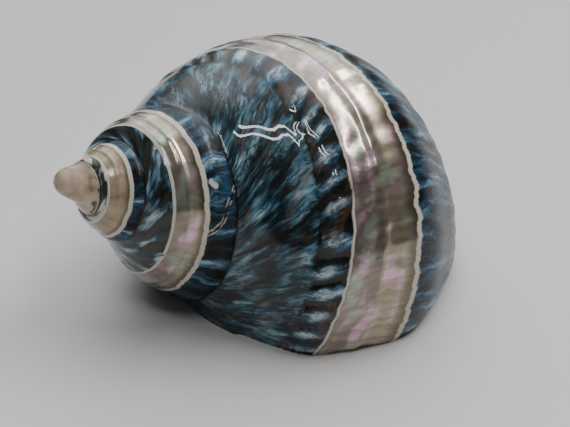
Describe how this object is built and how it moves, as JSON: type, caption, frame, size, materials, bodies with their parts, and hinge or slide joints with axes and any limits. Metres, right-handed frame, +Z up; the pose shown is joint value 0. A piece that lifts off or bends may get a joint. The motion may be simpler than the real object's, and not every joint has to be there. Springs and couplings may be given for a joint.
{
  "type": "turban shell",
  "caption": "Polished turban snail shell with rounded whorls coiling to a blunt tip, a pearl band along the coil, and an open hollow mouth that it lies on.",
  "frame": {"origin": "on the rest plane, under the middle of the shell as it lies on its mouth", "axes": "+Z up, away from the rest plane; +X towards the foot of the shell, so the tip points to -X and up; the mouth's outer lip is on the -Y side"},
  "size_m": [0.0656, 0.0518, 0.0358],
  "materials": {
    "polished_shell": "high polish, blue and brown with a pearl band"
  },
  "bodies": {
    "root": {"turban_shell": "polished_shell"}
  },
  "joints": []
}
